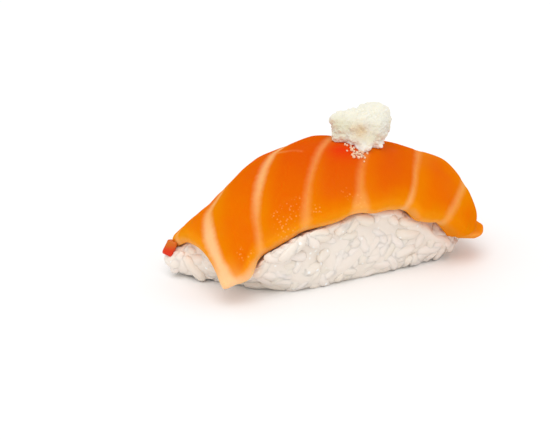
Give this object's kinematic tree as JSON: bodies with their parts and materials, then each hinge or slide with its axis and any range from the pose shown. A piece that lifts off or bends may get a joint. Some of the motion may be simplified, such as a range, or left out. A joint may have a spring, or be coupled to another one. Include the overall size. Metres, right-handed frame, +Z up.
{
  "type": "salmon nigiri",
  "caption": "Salmon nigiri: a pad of pressed rice under a draped slice of raw salmon, with a crumbly dollop of fresh cream cheese on the crown.",
  "frame": {"origin": "on the table, under the middle of the piece's bounding box", "axes": "+Z up, +X along the rice pad towards the far, tucked end of the slice, -Y towards the front edge of the slice"},
  "size_m": [0.0692, 0.0366, 0.0341],
  "materials": {
    "cooked_rice": "moist, slightly translucent cooked rice",
    "raw_salmon": "wet translucent orange flesh with pale fat lines",
    "fresh_cheese": "soft, crumbly, off-white"
  },
  "bodies": {
    "root": {"rice_pad": "cooked_rice", "salmon_slice": "raw_salmon", "cream_cheese": "fresh_cheese"}
  },
  "joints": []
}
